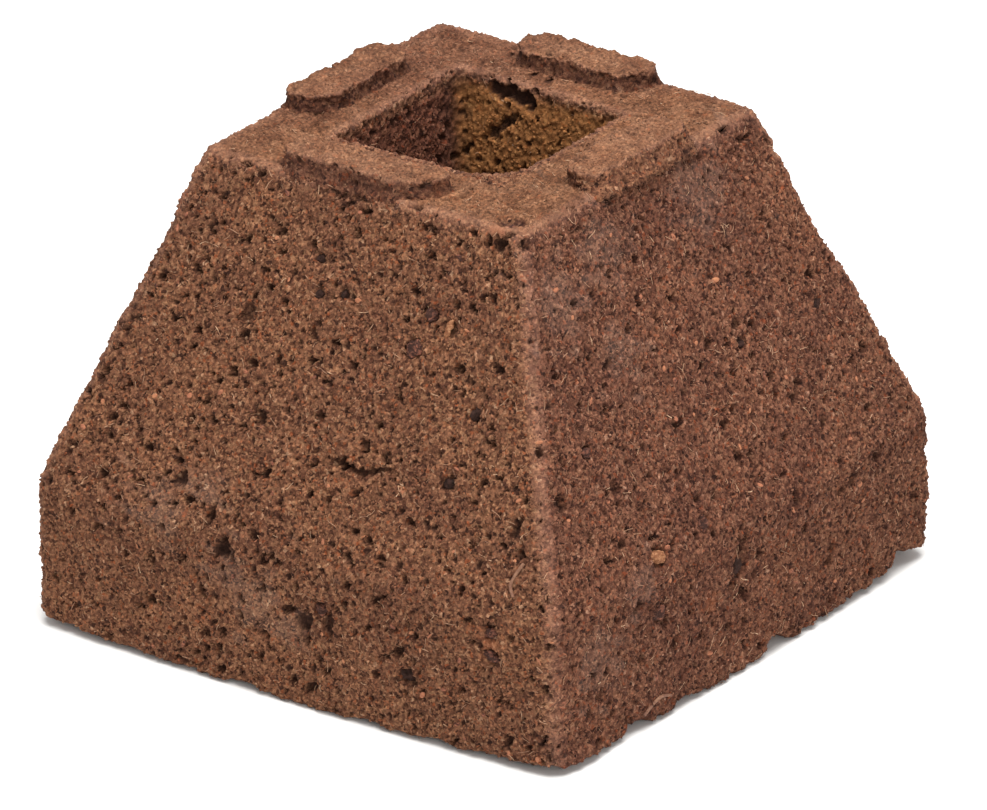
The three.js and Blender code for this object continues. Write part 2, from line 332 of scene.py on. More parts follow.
# Deep pits in the skin: side, place along it, height, radius and depth.
PITS = [
    ("minus_x", 9.6, 18.0, 1.3, 1.7),
    ("minus_x", 12.1, 21.5, 1.0, 1.4),
    ("minus_x", 17.5, 24.7, 1.1, 1.2),
    ("minus_x", 18.3, 26.6, 0.7, 1.0),
    ("minus_x", -2.5, 11.5, 1.4, 1.2),
    ("minus_x", -6.0, 12.0, 1.3, 1.1),
    ("minus_x", 12.8, 45.3, 1.3, 0.8),
    ("minus_x", -31.5, 29.7, 1.0, 1.2),
    ("minus_x", 3.0, 45.0, 0.9, 0.9),
    ("minus_x", -18.6, 8.0, 1.1, 1.0),
    ("minus_x", -21.0, 60.6, 1.2, 1.4),
    ("minus_y", -2.2, 16.6, 1.2, 1.3),
    ("minus_y", 8.8, 40.8, 0.9, 0.9),
    ("minus_y", 24.9, 41.6, 1.0, 1.2),
    ("minus_y", -21.6, 31.0, 0.9, 0.8),
    ("minus_y", 14.8, 29.5, 0.9, 0.9),
    ("plus_x", 5.0, 30.0, 1.2, 1.4),
    ("plus_x", -14.0, 14.0, 1.1, 1.2),
    ("plus_x", 11.0, 48.0, 1.0, 1.0),
    ("plus_y", -8.0, 22.0, 1.2, 1.3),
    ("plus_y", 14.0, 37.0, 1.1, 1.2),
    ("plus_y", 1.0, 9.0, 1.0, 1.1),
]

# Shallow cracks in the -X side: start and end (place along the side, height), width and depth.
CRACKS = [
    ((-2.3, 31.0), (-13.4, 32.0), 0.6, 1.1),
    ((11.5, 61.7), (-6.5, 61.6), 0.8, 0.55),
]

# Gouges in the hole's +X wall: start and end (y, height), width and depth.
GOUGES = [
    ((7.8, 60.6), (2.5, 60.3), 1.3, 1.8),
    ((8.4, 54.4), (5.0, 57.2), 0.8, 1.1),
]

# Where a smear of red bark colours the skin: side, place along it, height and radius.
RUST_SPOTS = [
    ("minus_x", -20.6, 62.3, 1.9),
    ("minus_x", -30.5, 15.5, 2.2),
    ("minus_y", -9.0, 12.0, 1.8),
]

# Where pale dust has settled in the skin.
DUST_SPOTS = [
    ("minus_x", 5.0, 12.5, 5.0),
    ("minus_x", 8.5, 15.0, 4.0),
    ("minus_x", 0.0, 10.3, 3.6),
    ("minus_x", 20.0, 21.0, 5.0),
    ("minus_x", 13.5, 24.3, 3.5),
    ("minus_y", -21.0, 53.0, 6.0),
    ("minus_y", -11.0, 56.0, 6.0),
    ("minus_y", 10.0, 56.5, 7.0),
    ("minus_y", -13.0, 44.7, 5.0),
    ("minus_y", -31.0, 12.7, 5.5),
    ("minus_y", -22.5, 18.8, 4.0),
]


def wall_reach(height):
    """Half width of the wall at a height."""
    return np.interp(height, LEVELS, [CORNER_WIDTH / 2, CORNER_WIDTH / 2, TOP_WIDTH / 2])


def side_point(side, along, height, out):
    """A point of a side, from its place along the side and its reach from the axis."""
    x, y = {"plus_x": (out, along), "plus_y": (along, out)}.get(side, (along, -out))
    if side == "minus_x":
        x, y = -out, along
    return np.array([x, y, height])


def wall_point(side, along, height):
    """A place on a side's bowed wall."""
    return side_point(side, along, height, wall_reach(height) + SIDE_BULGE / 2)


def share_along(points, start, axis):
    """How far along a line each point lies, from 0 at its start to 1 at its end."""
    return np.clip((points - start) @ axis / (axis @ axis), 0, 1)


def sink_pits(points):
    """Presses the deep pits into the skin."""
    for side, along, height, radius, depth in PITS:
        lean = 0.0 if height < BAND_HEIGHT else 0.35
        centre = wall_point(side, along, height)
        inward = side_point(side, 0, 0, -1.0) - np.array([0, 0, lean])
        inward /= np.linalg.norm(inward)
        offset = points - centre
        offset[:, 2] *= 0.75
        ragged = 1 + 0.35 * lumpy(points, 1.6 * radius, 3)
        share = 1 - smooth_share(np.linalg.norm(offset, axis=1) * ragged, 0.45 * radius, radius)
        points += share[:, None] * inward * depth
    return points


def cut_crack(points, side, start, end, width, depth):
    """A shallow crack that wanders from start to end, both (place along the side, height)."""
    first = wall_point(side, *start)
    axis = wall_point(side, *end) - first
    share = share_along(points, first, axis)
    offset = points - first - share[:, None] * axis
    offset[:, 2] -= 0.45 * np.sin(share * 9)
    gap = np.linalg.norm(offset, axis=1) * (1 + 0.5 * lumpy(points, 1.8, 4))
    fade = np.sin(np.clip(share, 0.02, 0.98) * math.pi) ** 0.5
    press = (1 - smooth_share(gap, 0.3 * width, width)) * fade * depth
    return points + press[:, None] * side_point(side, 0, 0, -1.0)


def gouge_hole(points, start, end, width, depth):
    """An undercut gouge in the hole's +X wall, from start to end, both (y, height)."""
    first = np.array([HOLE_EDGE, *start])
    axis = np.array([HOLE_EDGE, *end]) - first
    offset = points - first - share_along(points, first, axis)[:, None] * axis
    offset[:, 0] *= 0.25
    gap = np.linalg.norm(offset, axis=1) * (1 + 0.45 * lumpy(points, 2.0, 6))
    in_wall = (points[:, 0] > 8) & (points[:, 0] < TOP_WIDTH / 2 - 3)
    press = (1 - smooth_share(gap, 0.3 * width, width)) * in_wall
    points[:, 0] += press * depth
    points[:, 2] -= press * 0.3 * width
    return points


def fill_hole_corner(points):
    """Rounds the hole's -X -Y corner, where peat has stayed in it, less and less down the hole."""
    corner = HOLE_SHIFT - HOLE_MOUTH / 2
    gap = np.hypot(points[:, 0] - corner, points[:, 1] - corner)
    share = (1 - smooth_share(gap, 0.5, 5.5)) * smooth_share(points[:, 2], TOP_PLANE - 16, TOP_PLANE - 3)
    points[:, :2] += 1.5 * share[:, None]
    return points


def ring_at(half, height, outside, columns):
    """One ring of the skin. Its corners and bow change with the height, and the hole sits to one side."""
    corner = np.interp(height, LEVELS, [BAND_CORNER, BAND_CORNER, TOP_CORNER])
    bulge = np.interp(height, LEVELS, [SIDE_BULGE, SIDE_BULGE, 0]) * outside
    bulge *= (2 * half / CORNER_WIDTH) ** 2
    flat = ring(half, min(corner, 0.45 * half), bulge, columns)
    shift = HOLE_SHIFT * float(smooth_share(-half, -20, -15)) * (height > ABOVE_UNDERSIDE)
    return np.column_stack([flat + shift, np.full(len(flat), height)])


def near_edge(half, height, edge, width):
    """1 at an edge of the top, and less and less beyond a width from it."""
    return math.exp(-((half - edge) / width) ** 2 - ((height - TOP_PLANE) / width) ** 2)


def wear_at(half, height, on_side, columns):
    """How rubbed a ring's points are: on the ridges, at the top's edge and at the hole's mouth."""
    share = np.abs(np.tile(np.linspace(-1, 1, columns, endpoint=False), 4))
    ridge = smooth_share(share, 1 - 1.8 / max(half, 4), 1) * on_side
    rim = near_edge(half, height, TOP_WIDTH / 2, 1.2)
    mouth = near_edge(half, height, HOLE_MOUTH / 2, 0.9)
    return np.clip(ridge + rim + mouth, 0, 1)


def skin_mesh():
    """The whole skin as one closed mesh: points, triangles, the triangles' zones, the points' wear,
    and the rings that border the top, outside and round the hole."""
    path = path_through(OUTLINE)
    heights = path[:, 1]
    lower_edge = int(np.argmax(heights > 0.35))
    top_edge = int(np.argmax(heights > TOP_PLANE - 0.45))
    past_top_edge = top_edge + 5
    hole_edge = past_top_edge + int(np.argmax(heights[past_top_edge:] < TOP_PLANE - 4))
    points, wear, zones, triangles, loops = [], [], [], [], []
    first = 0
    for index, (half, height) in enumerate(path):
        on_side = lower_edge <= index <= top_edge
        coarse = index < lower_edge - 2 or (index > top_edge and height < TOP_PLANE - 17)
        columns = COLUMNS if on_side else COLUMNS // (4 if coarse else 2)
        points.append(ring_at(half, height, index <= top_edge, columns))
        wear.append(wear_at(half, height, on_side, columns))
        loop = np.arange(first, first + 4 * columns)
        if loops:
            last = loops[-1]
            row = stitch(loop, last)[:, ::-1] if len(last) < len(loop) else stitch(last, loop)
            zone = ZONE_UNDER if index <= lower_edge else ZONE_TOP if index <= hole_edge else ZONE_HOLE
            side = np.arange(len(row)) % len(last) // columns
            triangles.append(row)
            zones.append(side if on_side and index > lower_edge else np.full(len(row), zone))
        loops.append(loop)
        first += len(loop)
    for loop, turn, shift, height, zone in ((loops[0], -1, 0, 0.0, ZONE_UNDER),
                                            (loops[-1], 1, HOLE_SHIFT, HOLE_FLOOR, ZONE_HOLE)):
        points.append([[shift, shift, height]])
        fan = np.stack([loop, np.roll(loop, -1), np.full(len(loop), first)], 1)
        triangles.append(fan[:, ::turn])
        zones.append(np.full(len(loop), zone))
        wear.append(np.zeros(1))
        first += 1
    borders = (loops[top_edge], loops[hole_edge])
    return tuple(np.concatenate(part) for part in (points, triangles, zones, wear)) + (borders,)


LONG_WAVES = [26, 15, 9.5]   # of the frayed lower edge
SHORT_WAVES = [5.2, 3.1, 1.9]
OTHER_SIDES_WAVES = 211      # starts the +Y and -Y sides' waves elsewhere than the +X and -X sides'
RIDGE_WAVES = [13, 7.1, 4.2, 2.6, 1.7]


def wear_lower_edge(points):
    """Lifts the feet of the corners and frays the lower edge, most of all on the -Y side."""
    hem = 1 - smooth_share(points[:, 2], 0.2, 3.0)
    x, y = np.abs(points[:, 0]), np.abs(points[:, 1])
    reach = np.maximum(x, y)
    hem *= smooth_share(reach, CORNER_WIDTH / 2 - 4, CORNER_WIDTH / 2 - 0.6)
    on_minus_y = -points[:, 1] >= reach - ROUNDING
    along = np.where(x >= reach - ROUNDING, points[:, 1], points[:, 0] + OTHER_SIDES_WAVES)
    loss = 1.1 * np.clip(ripple(along, LONG_WAVES, 5), 0, 2)
    loss += 0.5 * np.clip(ripple(along, SHORT_WAVES, 6), 0, 2)
    loss *= np.where(on_minus_y, 0.8 + 0.7 * smooth_share(points[:, 0], -10, 25), 0.35)
    loss *= 1 - 0.85 * smooth_share(np.minimum(x, y), 31, 37)
    ledge = 0.9 * np.exp(-((points[:, 0] + 34) / 5) ** 2) * on_minus_y * hem
    shrunk_corner = (points[:, 0] > 0) & (points[:, 1] < 0)
    lift = np.where(shrunk_corner, RIGHT_CORNER_LIFT, CORNER_LIFT) * smooth_share(reach, 15, 38)
    lift *= (np.minimum(x, y) / (CORNER_WIDTH / 2)) ** 2
    points[:, 2] += loss * hem + lift * (1 - smooth_share(points[:, 2], 1, 12))
    points[:, :2] *= (1 - 0.35 * loss * hem / CORNER_WIDTH * 2)[:, None]
    points[:, 1] -= ledge
    return points


def wear_ridges(points):
    """Rounds the ridges off unevenly where crumbs have broken away, most of all high on the slope."""
    x, y, z = points.T
    near = 1 - smooth_share(np.abs(np.abs(x) - np.abs(y)), 0, 2.6)
    near *= smooth_share(np.maximum(np.abs(x), np.abs(y)), TOP_WIDTH / 2 - 2, TOP_WIDTH / 2)
    corner = np.sign(x) * 40 + np.sign(y) * 90
    loss = 0.3 * np.clip(ripple(z + corner, RIDGE_WAVES, 14), 0, 2)
    loss += 0.65 * np.exp(-((z - 47) / 6) ** 2) - 0.5 * np.exp(-((z - 57.5) / 3.5) ** 2)
    points[:, :2] *= (1 - near * loss / 40)[:, None]
    return points


def open_cells(tree, given, label, point, edge, share_open, widest):
    """Hollows with ragged mouths, in some cells of a pattern: 0 outside them and 1 at their middles."""
    per_cell = add(tree, MATH, OVER, {0: 1.0, 1: given.outputs[label + " Spacing"]})
    cell = add(tree, CELLS, None, {"Vector": point, "Scale": per_cell, "Detail": 0.0})
    chance = add(tree, "FunctionNodeSeparateColor", None, {0: cell.outputs["Color"]})
    openness = add(tree, MARK, None, {"Name": "openness"})
    limit = add(tree, MATH, TIMES, {0: openness, 1: share_open})
    chosen = add(tree, MATH, LESS, {0: chance.outputs["Red"], 1: limit})
    radius = add(tree, RANGE, None,
                 {"Value": chance.outputs["Green"], "To Min": 0.4 * widest, "To Max": widest})
    inner = add(tree, MATH, TIMES, {0: radius, 1: 0.5})
    ragged = add(tree, MATH, TIMES_PLUS, {0: edge, 1: given.outputs["Raggedness"], 2: cell})
    mouth = add(tree, "ShaderNodeMapRange", {"interpolation_type": "SMOOTHSTEP"},
                {"Value": ragged, "From Min": inner, "From Max": radius, "To Min": 1.0, "To Max": 0.0})
    return add(tree, MATH, TIMES, {0: mouth, 1: chosen})


def relief_tree():
    """Raises the grain of the pressed fibre and opens the pores between it."""
    tree, given, out = shape_tree("pressed_grain", {
        "Grain Width": 0.6,       # a crumb of peat
        "Grain Height": 0.24,
        "Pore Spacing": 1.25,     # pores are as common as one in a few crumbs
        "Pore Depth": 0.5,
        "Pit Spacing": 2.7,       # where a coarse piece has dropped out
        "Pit Depth": 1.1,
        "Raggedness": 0.75,       # of the mouths of pores and pits
        "Swell": 0.45,            # slow unevenness of the pressed faces
        "Surface": None,
    })
    point = millimetres(tree)
    bend = add(tree, NOISE, None, {"Vector": point, "Scale": 0.9, "Detail": 2.0})
    centred = add(tree, VECTOR_MATH, MINUS, {0: bend.outputs["Color"], 1: NOISE_MIDDLE})
    pushed = add(tree, VECTOR_MATH, SCALED, {0: centred, "Scale": 1.1})
    bent = add(tree, VECTOR_MATH, PLUS, {0: point, 1: pushed})

    per_grain = add(tree, MATH, OVER, {0: 1.0, 1: given.outputs["Grain Width"]})
    grain = add(tree, CELLS, None, {"Vector": bent, "Scale": per_grain, "Detail": 0.0})
    tone = add(tree, "FunctionNodeSeparateColor", None, {0: grain.outputs["Color"]})
    dome = add(tree, RANGE, None,
               {"Value": grain, "From Min": 0.15, "From Max": 0.75, "To Min": 0.5, "To Max": -0.6})
    lifted = add(tree, MATH, PLUS, {0: dome, 1: tone.outputs["Red"]})
    lifted = add(tree, MATH, MINUS, {0: lifted, 1: 0.6})
    grain_lift = add(tree, MATH, TIMES, {0: lifted, 1: given.outputs["Grain Height"]})

    edge = add(tree, NOISE, None, {"Vector": point, "Scale": 1.3, "Detail": 3.0, "Roughness": 0.65})
    edge = add(tree, MATH, MINUS, {0: edge, 1: 0.5})
    pores = open_cells(tree, given, "Pore", bent, edge, 0.7, 0.42)
    pits = open_cells(tree, given, "Pit", bent, edge, 1.0, 0.36)
    pore_drop = add(tree, MATH, TIMES, {0: pores, 1: given.outputs["Pore Depth"]})
    pit_drop = add(tree, MATH, TIMES, {0: pits, 1: given.outputs["Pit Depth"]})
    drop = add(tree, MATH, PLUS, {0: pore_drop, 1: pit_drop})

    slow = add(tree, NOISE, None, {"Vector": point, "Scale": 0.11, "Detail": 3.5, "Roughness": 0.75})
    slow = add(tree, MATH, MINUS, {0: slow, 1: 0.5})
    slow = add(tree, MATH, TIMES, {0: slow, 1: given.outputs["Swell"]})
    slow = add(tree, MATH, TIMES, {0: slow, 1: 2.0})

    height = add(tree, MATH, PLUS, {0: grain_lift, 1: slow})
    height = add(tree, MATH, MINUS, {0: height, 1: drop})
    metres = add(tree, MATH, TIMES, {0: height, 1: MM})
    normal = add(tree, "GeometryNodeInputNormal")
    offset = add(tree, VECTOR_MATH, SCALED, {0: normal, "Scale": metres})
    # Painted shade: pores, pits and dents are marked here so that the peat's colour darkens in them.
    dent = add(tree, MARK, None, {"Name": "dent"})
    hollow = add(tree, MATH, LARGER, {0: pores, 1: pits})
    hollow = add(tree, MATH, LARGER, {0: hollow, 1: dent})
    marked = add(tree, "GeometryNodeStoreNamedAttribute", {"data_type": "FLOAT", "domain": "POINT"},
                 {"Geometry": given.outputs["Skin"], "Name": "hollow", "Value": hollow})
    moved = add(tree, MOVE, None, {"Geometry": marked, "Offset": offset})
    return end_tree(tree, moved, given, out)


OPENNESS = {"far_sides": 0.85, "minus_x": 1.0, "minus_y": 0.6, "top": 0.3, "hole": 0.9}


def openness_of(points):
    """How pitted the skin is at each point: the -X side most and the top least."""
    x, y, z = points.T
    reach = np.maximum(np.abs(x), np.abs(y))
    openness = np.full(len(points), OPENNESS["far_sides"])
    openness[-x >= reach - ROUNDING] = OPENNESS["minus_x"]
    openness[-y >= reach - ROUNDING] = OPENNESS["minus_y"]
    openness[z > TOP_PLANE - 0.4] = OPENNESS["top"]
    openness[(z > ABOVE_UNDERSIDE) & (reach < HOLE_EDGE)] = OPENNESS["hole"]
    return openness.astype(np.float32)


def spots_on(points, spots, unevenness):
    """Share of each point in a table of soft-edged spots; unevenness is how wide their edges' waves are."""
    share = np.zeros(len(points))
    for side, along, height, radius in spots:
        centre = side_point(side, along, height, wall_reach(height))
        gap = np.linalg.norm(points - centre, axis=1) * (1 + 0.4 * lumpy(points, unevenness, 9))
        share = np.maximum(share, 1 - smooth_share(gap, 0.3 * radius, radius))
    return share


def casts_of(points):
    """How plum, ochre, mauve, rusty and dusty each point is. The hole's +Y wall gets painted shade with a
    plum tint, its +X wall painted light with an ochre tint, the -Y side painted shade with a mauve tint and
    the top's far half a little mauve darkening; smears and dust lie in spots."""
    x, y, z = points.T
    in_hole = (z > ABOVE_UNDERSIDE) & (np.maximum(np.abs(x), np.abs(y)) < HOLE_EDGE + 0.6)
    deep = in_hole * (1 - smooth_share(z, TOP_PLANE - 2.5, TOP_PLANE - 0.4))
    # Painted shade with a plum tint on the hole's +Y wall, and painted light with an ochre tint on its +X
    # wall.
    plum = deep * smooth_share(y - np.abs(x), -2, 1)
    ochre = deep * smooth_share(x - np.abs(y), -2, 1)
    on_minus_y = smooth_share(-y - np.abs(x), -0.5, 1.5) * (z < TOP_PLANE - 0.6) * ~in_hole
    rust, dust = spots_on(points, RUST_SPOTS, 1.5), spots_on(points, DUST_SPOTS, 4.0)
    # Painted shade with a mauve tint on the -Y side; the top's far half is a little darker and mauver.
    mauve = on_minus_y * (0.72 - 0.2 * smooth_share(x, 0, 40))
    mauve = np.maximum(mauve, 0.5 * smooth_share(x + y, -8, 34) * (z >= TOP_PLANE - 0.6))
    casts = {"plum": plum, "ochre": ochre, "mauve": mauve, "rust": rust, "dust": dust}
    return {label: values.astype(np.float32) for label, values in casts.items()}


def welded(mesh):
    """Joins points that lie on one another, and drops faces that have no area."""
    work = bmesh.new()
    work.from_mesh(mesh)
    bmesh.ops.remove_doubles(work, verts=work.verts, dist=0.002 * MM)
    work.to_mesh(mesh)
    work.free()
    return mesh


def split_arrays(mesh):
    """Points in millimetres, normals at the points, and triangles of a mesh."""
    mesh.calc_loop_triangles()
    normals = np.zeros(3 * len(mesh.vertices), np.float32)
    corners = np.zeros(3 * len(mesh.loop_triangles), np.int32)
    mesh.vertex_normals.foreach_get("vector", normals)
    mesh.loop_triangles.foreach_get("vertices", corners)
    return points_of(mesh), normals.reshape(-1, 3), corners.reshape(-1, 3)


# Where the patches close behind the skin: last points, and rings (half width, height) on the way.
CORE = np.array([0.0, 0.0, 28.0])
SIDE_END = 24.0              # from the axis, level with the core
UNDER_END = np.array([0.0, 0.0, 6.0])
HOLE_END = np.array([HOLE_SHIFT, HOLE_SHIFT, 21.0])
TOP_BACKS = [(20.0, 54.0)]
HOLE_BACKS = [(16.0, 57.0), (14.0, 23.0)]

# What the skin carries over to its patches for their material.
MARKS = ["wear", "hollow", "openness", "plum", "ochre", "mauve", "rust", "dust"]


def border_loop(triangles):
    """The vertices round a patch's one border, in order."""
    edges = np.concatenate([triangles[:, [0, 1]], triangles[:, [1, 2]], triangles[:, [2, 0]]])
    size = int(triangles.max()) + 1
    keys = set((edges[:, 0].astype(np.int64) * size + edges[:, 1]).tolist())
    following = {a: b for a, b in edges.tolist() if b * size + a not in keys}
    start = next(iter(following))
    loop, at = [start], following[start]
    while at != start:
        loop.append(at)
        at = following[at]
    return np.array(loop)


def close_patch(points, triangles, loop, backs, end):
    """Closes a patch from behind: from its border loop by way of rings (half width, height), or of
    a smaller copy of itself, to end, which is a last point or the patch's other border."""
    made = [triangles]
    if not backs:
        backs = [None]
    for back in backs:
        if back is None:
            inside = CORE + (points[loop] - CORE) * 0.86
        else:
            inside = points[loop].copy()
            inside[:, :2] *= back[0] / np.abs(inside[:, :2]).max()
            inside[:, 2] = back[1]
        numbers = np.arange(len(points), len(points) + len(loop))
        points = np.vstack([points, inside])
        made.append(stitch(loop, numbers)[:, ::-1])
        loop = numbers
    if end.dtype.kind == "i":
        made.append(stitch(loop, end)[:, ::-1])
    else:
        points = np.vstack([points, end])
        made.append(np.stack([np.roll(loop, -1), loop, np.full(len(loop), len(points) - 1)], 1))
    return points, np.concatenate(made)


def skin_piece(name, skin, triangles, backs, end, material, loop=None):
    """One patch of the whole skin, closed from behind, with the whole skin's shading."""
    used, local = np.unique(triangles, return_inverse=True)
    local = local.reshape(-1, 3)
    loop = border_loop(local) if loop is None else np.searchsorted(used, loop)
    end = np.searchsorted(used, end) if end.dtype.kind == "i" else end
    points, closed = close_patch(skin["points"][used], local, loop, backs, end)
    mesh = mesh_from(name, points, closed)
    spare = len(points) - len(used)
    for label, values in skin["marks"].items():
        set_values(mesh, label, "POINT", np.append(values[used], np.zeros(spare)).astype(np.float32))
    mesh.shade_smooth()
    shading = np.vstack([skin["normals"][used], np.tile([0, 0, -1.0], (spare, 1))])
    mesh.normals_split_custom_set_from_vertices(shading.tolist())
    return finish_piece(name, mesh, material, "pressed_peat", ["moulded_block"])


def press_pockets(points):
    """Sinks the skin a little round each coarse inset piece, so that it sits in its own shadow."""
    for centre, out, radius in inset_places():
        gap = np.linalg.norm(points - centre - out * 0.4, axis=1)
        points -= (1 - smooth_share(gap, 0.8 * radius, radius + 0.55))[:, None] * out * 0.75
    return points


def far_corner_shade(points):
    """Share of painted shade in the hole's far corner, on the +Y wall."""
    x, y, z = points.T
    gap = np.abs(x - HOLE_EDGE + 1.5 + (TOP_PLANE - z) * 0.08) + 0.8 * lumpy(points, 3.5, 8)
    on_wall = (y > HOLE_EDGE - 2.5) & (y < HOLE_EDGE + 0.8) & (z > HOLE_FLOOR) & (x < HOLE_EDGE)
    below_mouth = 1 - smooth_share(z, TOP_PLANE - 1.2, TOP_PLANE - 0.3)
    return (1 - smooth_share(gap, 0.5, 2.4)) * on_wall * below_mouth


def build_moulding(relief, material):
    """The moulded block's skin, in patches that meet edge to edge. Returns the whole skin in one mesh,
    and its points."""
    points, triangles, zones, wear, (top, mouth) = skin_mesh()
    untouched = points.copy()
    points = sink_pits(points)
    points = press_pockets(points)
    for crack in CRACKS:
        points = cut_crack(points, "minus_x", *crack)
    for gouge in GOUGES:
        points = gouge_hole(points, *gouge)
    # Painted shade: the skin is marked dark where pits, pockets, cracks and gouges press it in, and in the
    # hole's far corner.
    dent = smooth_share(np.linalg.norm(points - untouched, axis=1), 0.2, 1.2)
    dent = np.maximum(dent, 0.55 * far_corner_shade(points))
    points = settle_top(wear_lower_edge(wear_ridges(fill_hole_corner(points))))
    base = mesh_from("skin", points, triangles)
    set_values(base, "zone", "FACE", zones.astype(np.int32))
    set_values(base, "wear", "POINT", wear.astype(np.float32))
    set_values(base, "dent", "POINT", dent.astype(np.float32))
    set_values(base, "openness", "POINT", openness_of(points))
    for label, values in casts_of(points).items():
        set_values(base, label, "POINT", values)
    mesh = grown_mesh("skin", base, relief, {"Surface": material})
    whole, normals, corners = split_arrays(mesh)
    whole[:, 2] = np.maximum(whole[:, 2], 0)
    put_points(mesh, whole)
    marks = {label: get_values(mesh, label, len(whole)) for label in MARKS}
    skin = {"points": whole, "normals": normals, "marks": marks}
    for zone, side in enumerate(SIDE_NAMES):
        end = side_point(side, 0, CORE[2], SIDE_END)
        skin_piece("moulded_" + side + "_face", skin, corners[zones == zone], [], end, material)
    skin_piece("moulded_underside", skin, corners[zones == ZONE_UNDER], [], UNDER_END, material)
    skin_piece("moulded_top", skin, corners[zones == ZONE_TOP], TOP_BACKS, mouth, material, top)
    skin_piece("plug_hole_wall", skin, corners[zones == ZONE_HOLE], HOLE_BACKS, HOLE_END, material)
    return mesh, whole


# ---- raised pads ----

# Each pad: side, place of its middle along the side, length, reach of its middle from the axis, how far
# the outer edge overhangs the middle at its low and high ends, and how far the outer face leans out.
PADS = [
    ("plus_x", -0.3, 19.4, 21.2, 1.5, 0.4, 0.0),
    ("plus_y", 0.9, 19.4, 20.6, 1.5, 0.4, 0.0),
    ("minus_x", 2.4, 22.0, 20.7, -1.9, 0.2, 0.0),
    ("minus_y", 1.2, 20.4, 20.8, 1.1, 0.4, 0.3),
]

PAD_EDGE = 0.4               # radius of a pad's top edge
# The foot of a pad runs out into the top: height, and how far out from the pad's edge.
PAD_FOOT = [(-1.0, 0.5), (-0.4, 0.45), (0.0, 0.3), (0.2, 0.14), (0.45, 0.04), (0.7, 0.0)]

# Marks up a pad's side, by height: the riser is pitted and darkened with painted shade, and its top edge is
# rubbed.
PAD_MARKS = [
    ("wear", [1.6, 2.1, 2.3], [0, 1, 0.3]),
    ("openness", [0.3, 0.9, 1.8, 2.2], [0.7, 1.0, 0.9, 0.3]),
    ("dent", [-0.2, 0.2, 1.5, 2.0], [0.2, 0.5, 0.4, 0.0]),
    ("plum", [0.0, 1.6, 2.1], [0.5, 0.5, 0.0]),
]


def pad_profile(step):
    """A pad's side and half its top, as (height, how far out from the pad's edge)."""
    shoulder = PAD_HEIGHT - PAD_EDGE
    profile = PAD_FOOT + [(height, -0.08 * height) for height in np.arange(0.95, shoulder, step)]
    for turn in np.linspace(0, math.pi / 2, 5):
        profile.append((shoulder + PAD_EDGE * math.sin(turn), -0.15 - PAD_EDGE * (1 - math.cos(turn))))
    profile += [(PAD_HEIGHT, -inset) for inset in np.arange(0.55 + step, PAD_WIDTH / 2 - 0.1, step)]
    return profile + [(PAD_HEIGHT, -PAD_WIDTH / 2)]


def pad_ring(half_long, half_wide, corner, columns):
    """A bar with round corners, anticlockwise, as (across, along)."""
    few = max(4, columns // 8)
    corner = max(min(corner, half_wide - 0.02), 0.0)
    inner = np.array([half_wide - corner, half_long - corner])
    middles = [inner * signs for signs in ((1, 1), (-1, 1), (-1, -1), (1, -1))]
    points = []
    for number, middle in enumerate(middles):
        angles = (np.linspace(0, 1, few, endpoint=False) + number) * math.pi / 2
        points.append(middle + corner * np.stack([np.cos(angles), np.sin(angles)], 1))
        end = (number + 1) * math.pi / 2
        outward = corner * np.array([math.cos(end), math.sin(end)])
        first, last = middle + outward, middles[(number + 1) % 4] + outward
        run = few if number % 2 == 0 else columns
        points.append(first + (last - first) * np.linspace(0, 1, run, endpoint=False)[:, None])
    return np.concatenate(points)


def pad_mesh(name, side, along, length, reach, low_end, high_end, lean):
    """A raised pad: its foot runs out into the top, its edges are soft and its top is flat."""
    step = 0.25
    profile = pad_profile(step)
    columns = round(length / step)
    rings = []
    for height, outset in profile:
        flat = pad_ring(length / 2 + outset, PAD_WIDTH / 2 + outset, PAD_CORNER + outset, columns)
        overhang = np.interp(flat[:, 1], [-length / 2, 0, length / 2], [-low_end, 0, high_end])
        outer = np.clip(flat[:, 0] / (PAD_WIDTH / 2), 0, 1)
        across = reach + flat[:, 0] + lean * (PAD_HEIGHT - height) * outer
        run = along + flat[:, 1] + overhang * flat[:, 0] / (PAD_WIDTH / 2)
        rings.append(np.array([side_point(side, r, TOP_PLANE + height, a) for a, r in zip(across, run)]))
    first = np.arange(len(rings[0]))
    loops = [first + row * len(first) for row in range(len(rings))]
    triangles = [stitch(low, high) for low, high in zip(loops, loops[1:])]
    points = settle_top(np.concatenate(rings))
    points += 0.16 * np.stack([lumpy(points, 3.0, seed) for seed in (11, 12, 13)], axis=1)
    points = np.vstack([points, points[first].mean(axis=0)])
    triangles.append(np.stack([np.roll(first, -1), first, np.full(len(first), len(points) - 1)], 1))
    triangles = np.concatenate(triangles)
    if side in ("plus_y", "minus_x"):
        triangles = triangles[:, ::-1]
    mesh = mesh_from(name, points, triangles)
    heights = [height for height, outset in profile]
    for label, knots, shares in PAD_MARKS:
        values = np.repeat(np.interp(heights, knots, shares), len(first))
        # The leaning pad's outer face gets less painted shade.
        if lean and label in ("dent", "plum"):
            values *= 0.3
        set_values(mesh, label, "POINT", np.append(values, values[0]).astype(np.float32))
    return welded(mesh)


def build_pads(relief, material):
    """The four raised pads. Returns their meshes."""
    meshes = []
    for side, *placing in PADS:
        name = "raised_pad_" + side
        sizes = {"Swell": 0.6, "Pit Depth": 0.5, "Surface": material}
        mesh = grown_mesh(name, pad_mesh(name, side, *placing), relief, sizes)
        mesh.shade_smooth()
        finish_piece(name, mesh, material, "pressed_peat", ["moulded_block"])
        meshes.append(mesh)
    return meshes


# ---- loose grit, fibres and flakes on the skin ----

LOWEST_BIT = 0.05            # no loose bit lies lower above the floor
HALF_TURN = 3.1416           # radians; bits lie turned any way round


